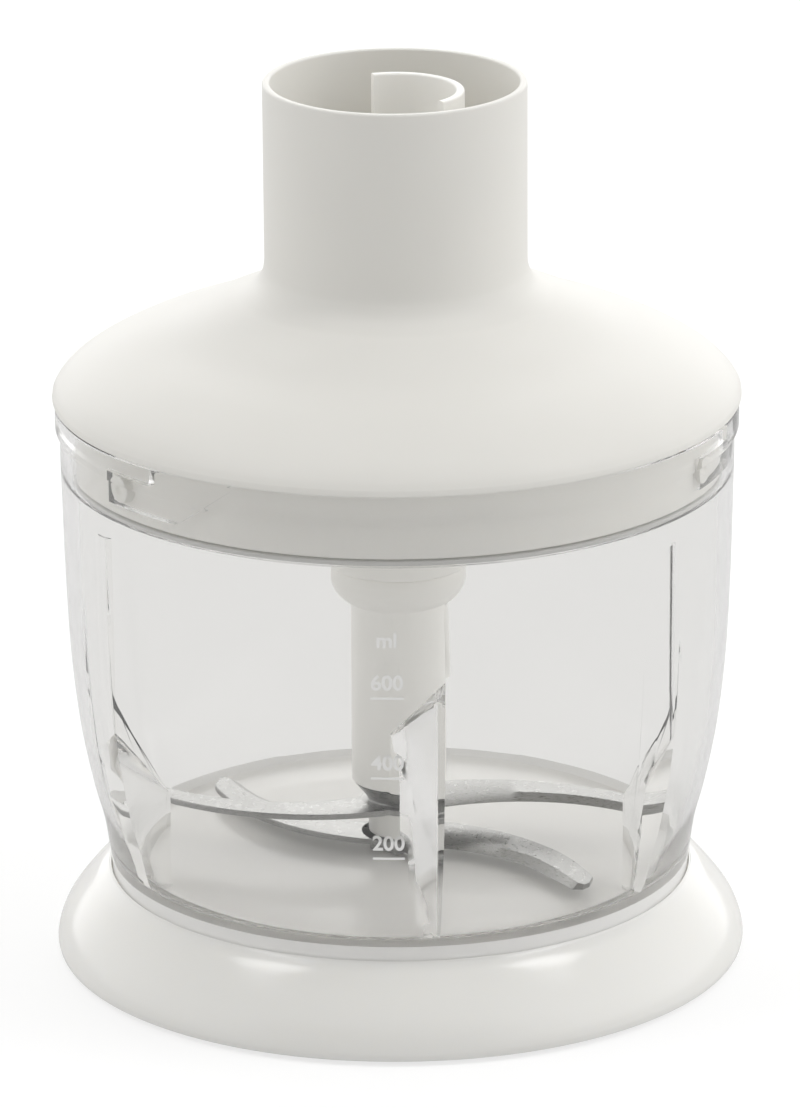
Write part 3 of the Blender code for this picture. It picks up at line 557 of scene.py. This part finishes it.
def wrapped_text(name, text, size, height, azimuth, radius, raised):
    """Figures bent round the bowl's wall, standing raised on it."""
    curve = bpy.data.curves.new(name, "FONT")
    curve.body = text
    curve.size = size * MM
    curve.align_x = "CENTER"
    curve.align_y = "CENTER"
    curve.extrude = raised * MM / 2
    curve.offset = 0.00008
    flat = bpy.data.objects.new(name + "_flat", curve)
    bpy.context.scene.collection.objects.link(flat)
    graph = bpy.context.evaluated_depsgraph_get()
    mesh = bpy.data.meshes.new_from_object(flat.evaluated_get(graph))
    bpy.data.objects.remove(flat)
    for vertex in mesh.vertices:
        x, y, z = vertex.co
        out = radius * MM + z
        turn = math.radians(azimuth) + x / (radius * MM)
        vertex.co = (out * math.cos(turn), out * math.sin(turn), height * MM + y)
    mesh.name = name
    mesh.materials.clear()
    return mesh


def outer_at(height):
    heights = [z for _, z in reversed(BOWL_OUTER)]
    radii = [r for r, _ in reversed(BOWL_OUTER)]
    i = min(max(bisect.bisect_left(heights, height), 1), len(heights) - 1)
    t = (height - heights[i - 1]) / (heights[i] - heights[i - 1])
    return radii[i - 1] + (radii[i] - radii[i - 1]) * t


def make_scale():
    """ml scale on the front of the bowl."""
    meshes = []
    for text, height in (("ml", 88.6), ("600", 79.7), ("400", 62.7), ("200", 45.0)):
        radius = outer_at(height) + 0.02
        meshes.append(wrapped_text("figure", text, 4.3, height, 268.0, radius, 0.16))
        if text != "ml":
            tick = [polar(radius + 0.1, 268.0 + 2.8 - 0.4 * k) for k in range(15)]
            tick += [polar(radius - 0.1, 268.0 - 2.8 + 0.4 * k) for k in range(15)]
            meshes.append(prism_mesh("tick", tick, height - 3.3, height - 2.9))
    add_object("bowl_scale", shaded(joined("bowl_scale", meshes)), FROST, "bowl")


def make_spindle():
    outline = rounded([(0, 59.7, 0), (2.0, 59.7, 0.5), (2.0, 16.2, 0.4), (0, 16.2, 0)])
    lathe("spindle_pin", outline, DARK_STEEL, "bowl", ("spindle",), 48)


# --- Base -------------------------------------------------------------------------------------


def make_base():
    outer = flowing(
        [
            (60.1, 17.9),
            (62.2, 16.3),
            (64.6, 13.7),
            (67.2, 10.6),
            (69.3, 7.6),
            (70.5, 4.8),
            (70.95, 2.6),
            (70.75, 1.3),
        ]
    )
    outline = [(0.0, 15.0)] + rounded(
        [
            (58.0, 15.0, 0),
            (59.7, 15.0, 0.4),
            (59.7, 18.2, 0.12),
            (59.95, 18.2, 0.1),
            (60.1, 17.9, 0),
        ]
    )
    outline += outer[1:]
    outline += rounded(
        [
            (70.75, 1.3, 0),
            (70.5, 0.9, 0.3),
            (68.3, 0.9, 0.2),
            (68.3, 2.5, 0.3),
            (61.7, 2.5, 0.3),
            (61.7, 0.9, 0.2),
            (59.8, 0.9, 0.4),
            (59.8, 4.1, 0.3),
            (68.1, 4.1, 0.8),
            (66.8, 7.3, 2.0),
            (63.8, 10.6, 2.0),
            (61.2, 13.2, 1.2),
            (0.0, 13.2, 0),
        ]
    )[1:]
    base = lathe(
        "base_frosted_shell", outline, MILKY, "base", ("base_ring",), 200
    )
    # The dish's faces get the lighter copy of the base's plastic: painted light in the dish inside
    # the base.
    base.data.materials.append(DISH_PAINTED_LIGHT)
    for face in base.data.polygons:
        x, y, z = face.center
        face.material_index = int(math.hypot(x, y) < 59.5 * MM and z > 14.5 * MM)
    grip = rounded([(62.0, 2.2, 0.3), (68.0, 2.2, 0.3), (68.0, 0.0, 0.5), (62.0, 0.0, 0.5)], True)
    lathe("grip_ring_soft", grip, RUBBER, "base", ("grip_ring",), 160)


# --- Lid --------------------------------------------------------------------------------------


def lid_dome():
    return flowing(
        [
            (26.55, 147.5),
            (26.9, 144.7),
            (28.3, 142.1),
            (31.0, 140.0),
            (34.2, 138.6),
            (40.0, 136.0),
            (46.3, 133.0),
            (54.6, 129.9),
            (61.0, 126.9),
            (65.9, 124.0),
            (68.6, 121.6),
            (69.75, 119.9),
        ],
        8,
    )


def make_lid():
    dome = lid_dome()
    outline = rounded(
        [(25.1, 160.0, 0), (25.1, 183.8, 0.5), (26.6, 183.8, 0.6), (26.58, 165.0, 0)], steps=8
    )
    outline += dome[1:]
    outline += rounded(
        [
            (69.75, 119.9, 0),
            (69.9, 118.7, 0.5),
            (69.3, 118.4, 0.25),
            (65.4, 118.4, 0.2),
            (65.4, 119.6, 0.2),
            (63.4, 121.5, 0.6),
            (60.0, 124.5, 2.0),
            (53.8, 127.7, 2.0),
            (45.4, 130.9, 2.0),
            (39.4, 133.6, 2.0),
            (32.9, 136.7, 1.0),
            (25.1, 136.7, 0.3),
            (25.1, 160.0, 0),
        ]
    )[1:-1]
    parts = [lathe_mesh("lid_turned", outline, 220)]
    for k in range(3):
        parts.append(screw_boss(120 * k + 30))
    mesh = shaded(joined("lid_shell_white", parts), 30.0)
    add_object("lid_shell_white", mesh, WHITE, "lid", ("lid_shell",))
    skirt = rounded(
        [(65.4, 119.5, 0.1), (65.4, 104.6, 0.5), (63.4, 104.6, 0.5), (63.4, 121.2, 0.1)], True
    )
    parts = [lathe_mesh("skirt", skirt, 220)]
    for azimuth in PIN_AZ:
        parts.append(lock_pin(azimuth))
    mesh = shaded(joined("lid_skirt_white", parts), 30.0)
    # The skirt takes the lighter copy of the lid's plastic: painted light in its shade.
    add_object("lid_skirt_white", mesh, LID_WHITE_PAINTED_LIGHT, "lid")


def screw_boss(azimuth):
    """A round boss under the dome, bored for its screw."""
    outline = [
        (1.5, 124.0, 0),
        (1.5, 113.0, 0.2),
        (3.2, 113.0, 0.3),
        (3.2, 136.2, 0),
        (0.0, 136.2, 0),
    ]
    mesh = lathe_mesh("boss", [(0.0, 124.0)] + rounded(outline, steps=3), 24)
    x, y = polar(30.0, azimuth)
    for vertex in mesh.vertices:
        vertex.co.x += x * MM
        vertex.co.y += y * MM
    return mesh


def make_gear_housing():
    """The insert in the collar, with the C-shaped wall that guides the motor's coupling."""
    outline = rounded(
        [
            (4.3, 150.0, 0.2),
            (24.8, 150.0, 0.4),
            (24.8, 136.4, 0.2),
            (26.08, 136.4, 0.4),
            (26.08, 113.0, 0.3),
            (23.88, 113.0, 0.3),
            (23.88, 128.8, 0.3),
            (21.3, 128.8, 0.3),
            (21.3, 147.6, 0.6),
            (4.3, 147.6, 0.2),
        ],
        True,
        3,
    )
    columns = []
    section = rounded([(12.3, 149.8, 0), (12.3, 182.0, 0.5), (14.0, 182.0, 0.5), (14.0, 149.8, 0)])
    for k in range(53):
        columns.append([(*polar(r, 3 * k - 46), z) for r, z in section])
    parts = [lathe_mesh("housing", outline, 160), open_skin("guide", columns)]
    mesh = shaded(joined("gear_housing_white", parts), 30.0)
    # The insert takes the lighter copy of the lid's plastic: painted light inside the collar.
    add_object("gear_housing_white", mesh, LID_WHITE_PAINTED_LIGHT, "lid", ("gear_housing",))


def lock_pin(azimuth):
    """A round bayonet pin on the skirt, dished in the middle of its end."""
    end = 65.4 + 1.8
    outline = rounded(
        [
            (0.0, end - 0.7, 0),
            (0.7, end - 0.65, 0.3),
            (1.2, end, 0.25),
            (2.9, end, 0.35),
            (2.9, 64.4, 0),
            (0.0, 64.4, 0),
        ],
        steps=4,
    )
    mesh = lathe_mesh("lock_pin", outline, 40)
    turn = math.radians(azimuth)
    for vertex in mesh.vertices:
        x, y, z = vertex.co
        vertex.co = (
            z * math.cos(turn) - x * math.sin(turn),
            z * math.sin(turn) + x * math.cos(turn),
            y + PIN_Z * MM,
        )
    return mesh


def make_under_lid():
    cover = rounded(
        [
            (4.8, 112.7, 0.2),
            (33.5, 112.7, 0.4),
            (33.5, 110.2, 0.5),
            (8.0, 110.2, 0.8),
            (8.0, 108.0, 0.5),
            (5.8, 108.0, 0.2),
            (5.8, 109.8, 0),
            (4.8, 109.8, 0),
        ],
        True,
    )
    lathe("gearbox_cover_plate", cover, WHITE, "lid", ("gearbox_cover",), 120)
    for k in range(3):
        x, y = polar(30.0, 120 * k + 30)
        head = rounded([(0, 109.9, 0), (2.5, 109.9, 0.1), (2.5, 108.9, 0.7), (0, 108.5, 0)])
        mesh = lathe_mesh("screw", head, 32)
        for vertex in mesh.vertices:
            vertex.co.x += x * MM
            vertex.co.y += y * MM
        name = f"cover_screw_{k + 1}"
        add_object(name + "_head", shaded(mesh), STEEL, "lid", (name,))
    seal = rounded(
        [
            (63.6, 104.3, 0.35),
            (65.7, 104.3, 0.35),
            (65.7, 103.3, 0.35),
            (63.6, 103.3, 0.35),
        ],
        True,
    )
    lathe("lid_seal_ring", seal, RUBBER, "seal", ("lid_seal",), 160)


# --- Drive ------------------------------------------------------------------------------------


def turned_outline(outline, azimuths, radius_at):
    """Columns of an outline whose radii may change with azimuth."""
    return [[(*polar(radius_at(r, z, a), a), z) for r, z in outline] for a in azimuths]


def dog(low_r, high_r, middle, low, high):
    points = [polar(high_r, middle - 7 + 14 * k / 8) for k in range(9)]
    points += [polar(low_r, middle + 7 - 14 * k / 8) for k in range(9)]
    return prism_mesh("dog", points, low, high, 0.25)


def make_couplings():
    bell = rounded(
        [
            (2.8, 106.6, 0.2),
            (11.7, 106.6, 1.2),
            (13.8, 102.6, 1.5),
            (13.8, 87.0, 0.8),
            (14.7, 86.0, 0.7),
            (14.7, 83.3, 0.5),
            (11.7, 83.3, 0.4),
            (11.7, 100.6, 0.6),
            (2.8, 100.6, 0.2),
        ],
        True,
    )
    parts = [lathe_mesh("bell", bell, 96)]
    parts += [dog(9.3, 12.2, 120 * k, 84.3, 101.0) for k in range(3)]
    mesh = shaded(joined("output_bell", parts))
    add_object("output_bell", mesh, HUB, "output", ("output_coupling",))

    def flutes(r, z, azimuth):
        if r < 6.5 or z < 153.9:
            return r
        near = (azimuth + 30) % 60 - 30
        return r - 1.15 * max(0.0, 1 - (near / 10.5) ** 2)

    socket = [
        (2.3, 151.0),
        (7.2, 151.0),
        (7.5, 151.3),
        (7.5, 154.0),
        (7.5, 154.05),
        (7.5, 162.6),
        (7.1, 163.0),
        (5.0, 163.0),
    ]

    def with_hex(r, z, azimuth):
        if 4.9 > r > 3.0 or (r, z) == (5.0, 163.0):
            side = (azimuth + 30) % 60 - 30
            return (r - 0.5) * math.cos(math.radians(30)) / math.cos(math.radians(side))
        return flutes(r, z, azimuth)

    outline = socket + [(4.85, 162.7), (4.8, 158.0), (2.3, 158.0)]
    azimuths = [2 * i for i in range(180)]
    mesh = shaded(skin("input_coupling_fluted", turned_outline(outline, azimuths, with_hex), True))
    add_object(
        "input_coupling_fluted", mesh, GREY, "input", ("input_coupling",)
    )


# --- Blade unit -------------------------------------------------------------------------------


def make_hub():
    hub = rounded(
        [
            (0.0, 97.0, 0),
            (8.9, 97.0, 1.2),
            (8.9, 83.0, 0.3),
            (13.4, 83.0, 0.5),
            (13.8, 81.6, 0.8),
            (13.8, 79.2, 1.4),
            (12.6, 76.8, 1.2),
            (10.9, 75.4, 0.5),
            (9.75, 75.1, 0.3),
            (9.75, 36.0, 0.4),
            (4.9, 36.0, 0.2),
            (4.9, 21.6, 0.2),
            (3.9, 21.6, 0.1),
            (3.9, 60.0, 0),
            (0.0, 60.0, 0),
        ]
    )
    parts = [lathe_mesh("hub", hub, 96)]
    parts += [dog(7.9, 11.3, 60 + 120 * k, 82.5, 95.0) for k in range(3)]
    mesh = shaded(joined("blade_hub_body", parts))
    add_object("blade_hub_body", mesh, HUB, "blade", ("blade_hub",))
    spacer = rounded([(5.2, 30.1, 0.1), (6.4, 30.1, 0.3), (6.4, 24.6, 0.3), (5.2, 24.6, 0.1)], True)
    lathe("blade_spacer_ring", spacer, HUB, "blade", ("blade_spacer",), 64)


def make_nut():
    outline = rounded(
        [(5.2, 22.8, 0.1), (7.0, 22.8, 0.3), (7.0, 21.4, 0.3), (5.2, 21.4, 0.1)], True
    )

    def hexed(r, _, azimuth):
        side = (azimuth + 30) % 60 - 30
        flat = 6.06 / math.cos(math.radians(side))
        return min(r, flat) if r > 5.3 else r

    columns = turned_outline(outline, [3 * i for i in range(120)], hexed)
    mesh = shaded(skin("blade_nut_hex", columns, True))
    add_object("blade_nut_hex", mesh, STEEL, "blade", ("blade_nut",))


def wing_rows(radius, turn):
    """(radius, middle azimuth, half its width in degrees) along one sickle wing."""
    disc = DISC_R
    steps = 26
    rows = []
    for i in range(steps + 1):
        share = i / steps
        reach = disc - 2.5 + (radius - disc + 2.5) * share
        along = max(0.0, (reach - disc) / (radius - disc))
        middle = turn + 24.0 - 31.5 * along
        chord = 13.0 - 6.0 * along
        chord *= math.sqrt(max(0.02, 1 - max(0.0, (along - 0.93) / 0.07) ** 2 * 0.9))
        half = math.degrees(math.asin(min(0.95, chord / 2 / reach)))
        rows.append((reach, middle, half))
    return rows


def make_blade(name, radius, turn, low, node, boss_top=None):
    """Both wings, ground on their leading edges, round a bored disc."""
    high = low + BLADE_THICKNESS
    shape = bmesh.new()
    for side in (0, 180):
        sections = []
        for reach, middle, half in wing_rows(radius, turn + side):
            ground = half * 0.55
            lead = middle - half
            points = [
                (*polar(reach, lead), low + 0.10),
                (*polar(reach, lead + ground), high),
                (*polar(reach, middle + half - 0.25), high),
                (*polar(reach, middle + half), high - 0.25),
                (*polar(reach, middle + half), low),
                (*polar(reach, lead + 0.15), low),
            ]
            sections.append([shape.verts.new(Vector(p) * MM) for p in points])
        for a, b in zip(sections, sections[1:]):
            for k in range(6):
                n = (k + 1) % 6
                shape.faces.new((a[k], a[n], b[n], b[k]))
        shape.faces.new(sections[0])
        shape.faces.new(sections[-1][::-1])
    wings = closed_mesh(name + "_wings", shape)
    if boss_top:
        disc = [(5.2, boss_top, 0), (9.35, boss_top, 0.1), (6.4, high + 0.3, 0.6)]
        disc.append((DISC_R, high, 0.1))
    else:
        disc = [(5.2, high, 0), (DISC_R, high, 0.1)]
    disc += [(DISC_R, low, 0.1), (5.2, low, 0)]
    parts = [wings, lathe_mesh("disc", rounded(disc, True), 72)]
    mesh = shaded(joined(name, parts), 20.0)
    add_object(name + "_ground", mesh, STEEL, "blade", (node,))


def make_blades():
    make_blade("upper_blade", 51.5, 0.0, 30.4, "upper_blade", 35.7)
    make_blade("lower_blade", 50.0, -34.0, 23.1, "lower_blade")


# --- Carried-over nodes -----------------------------------------------------------------------


def dress(node, material):
    """Gives a CAD node, which keeps its own shape, a finished material."""
    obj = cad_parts[node]
    if not obj.material_slots:
        obj.data.materials.append(material)
    for slot in obj.material_slots:
        slot.link = "OBJECT"
        slot.material = material


def dress_nodes():
    looks = {
        GEAR: ("ring_gear", "carrier", "planet_gear_1", "planet_gear_2", "planet_gear_3"),
        BRONZE: ("input_bush", "output_bush", "spindle_bush"),
        RUBBER: ("shaft_seal",),
        STEEL: (
            "input_shaft",
            "output_shaft",
            "sun_gear",
            "planet_pin_1",
            "planet_pin_2",
            "planet_pin_3",
        ),
    }
    for material, nodes in looks.items():
        for node in nodes:
            dress(node, material)


# --- Stage ------------------------------------------------------------------------------------


def make_stage():
    mesh = bpy.data.meshes.new("floor")
    size = 6.0
    corners = [(-size, -size, 0), (size, -size, 0), (size, size, 0), (-size, size, 0)]
    mesh.from_pydata(corners, [], [(0, 1, 2, 3)])
    floor = bpy.data.objects.new("floor", mesh)
    bpy.context.scene.collection.objects.link(floor)
    material, nodes, links, shader = new_material("floor_white")
    shader.inputs["Base Color"].default_value = (0.45, 0.45, 0.45, 1)
    shader.inputs["Roughness"].default_value = 0.9
    shader.inputs["Specular IOR Level"].default_value = 0.0
    shader.inputs["Emission Color"].default_value = (1, 1, 1, 1)
    path = nodes.new("ShaderNodeLightPath")
    glow = nodes.new("ShaderNodeMapRange")
    glow.inputs["To Min"].default_value = 0.20
    glow.inputs["To Max"].default_value = 0.60
    links.new(path.outputs["Is Camera Ray"], glow.inputs["Value"])
    links.new(glow.outputs["Result"], shader.inputs["Emission Strength"])
    mesh.materials.append(material)


def direction_spot(nodes, links, toward, inner, outer, level):
    """A soft round area of light in one direction of the sky."""
    place = nodes.new("ShaderNodeTexCoord")
    unit = nodes.new("ShaderNodeVectorMath")
    unit.operation = "NORMALIZE"
    links.new(place.outputs["Generated"], unit.inputs[0])
    dot = nodes.new("ShaderNodeVectorMath")
    dot.operation = "DOT_PRODUCT"
    dot.inputs[1].default_value = Vector(toward).normalized()
    links.new(unit.outputs["Vector"], dot.inputs[0])
    span = nodes.new("ShaderNodeMapRange")
    span.interpolation_type = "SMOOTHSTEP"
    span.inputs["From Min"].default_value = math.cos(math.radians(outer))
    span.inputs["From Max"].default_value = math.cos(math.radians(inner))
    span.inputs["To Min"].default_value = 0.0
    span.inputs["To Max"].default_value = level
    links.new(dot.outputs["Value"], span.inputs["Value"])
    return span.outputs["Result"]


def add_up(nodes, links, values):
    total = values[0]
    for value in values[1:]:
        plus = nodes.new("ShaderNodeMath")
        plus.operation = "ADD"
        links.new(total, plus.inputs[0])
        links.new(value, plus.inputs[1])
        total = plus.outputs["Value"]
    return total


def make_light():
    world = bpy.data.worlds.new("studio")
    bpy.context.scene.world = world
    world.use_nodes = True
    nodes, links = world.node_tree.nodes, world.node_tree.links
    back = nodes["Background"]
    spots = [
        direction_spot(nodes, links, (0.0, 0.0, 1.0), 179, 180, 1.12),
        direction_spot(nodes, links, (0.0, 0.0, 1.0), 20, 75, -0.45),
        direction_spot(nodes, links, (1.0, -0.2, 0.2), 20, 60, 0.5),
        direction_spot(nodes, links, (0.0, 1.0, 0.12), 15, 55, 1.2),
        direction_spot(nodes, links, (0.0, -1.0, 0.2), 10, 65, -0.95),
        direction_spot(nodes, links, (0.54, -0.06, 0.84), 4, 12, 7.0),
        direction_spot(nodes, links, (-0.5, -0.11, 0.86), 4, 12, 6.0),
    ]
    links.new(add_up(nodes, links, spots), back.inputs["Strength"])
    back.inputs["Color"].default_value = (1.0, 0.995, 0.985, 1)


def make_camera():
    data = bpy.data.cameras.new("camera")
    camera = bpy.data.objects.new("camera", data)
    bpy.context.scene.collection.objects.link(camera)
    bpy.context.scene.camera = camera
    data.sensor_width = 36.0
    data.lens = 248.2
    data.shift_x = 0.0018
    data.clip_end = 50.0
    down = math.radians(18.4)
    distance = 1.56
    camera.location = (0, -distance * math.cos(down), 0.08395 + distance * math.sin(down))
    camera.rotation_mode = "QUATERNION"
    level = Quaternion((1, 0, 0), math.radians(90) - down)
    camera.rotation_quaternion = level @ Quaternion((0, 0, 1), math.radians(-0.4))


def main():
    scene = bpy.context.scene
    scene.view_settings.view_transform = "Standard"
    scene.view_settings.gamma = 1.35
    scene.cycles.max_bounces = 40
    scene.cycles.transmission_bounces = 40
    scene.cycles.glossy_bounces = 10
    scene.cycles.diffuse_bounces = 10
    make_camera()
    make_stage()
    make_light()
    make_bowl()
    make_scale()
    make_spindle()
    make_base()
    make_lid()
    make_gear_housing()
    make_under_lid()
    make_couplings()
    make_hub()
    make_nut()
    make_blades()
    dress_nodes()


main()
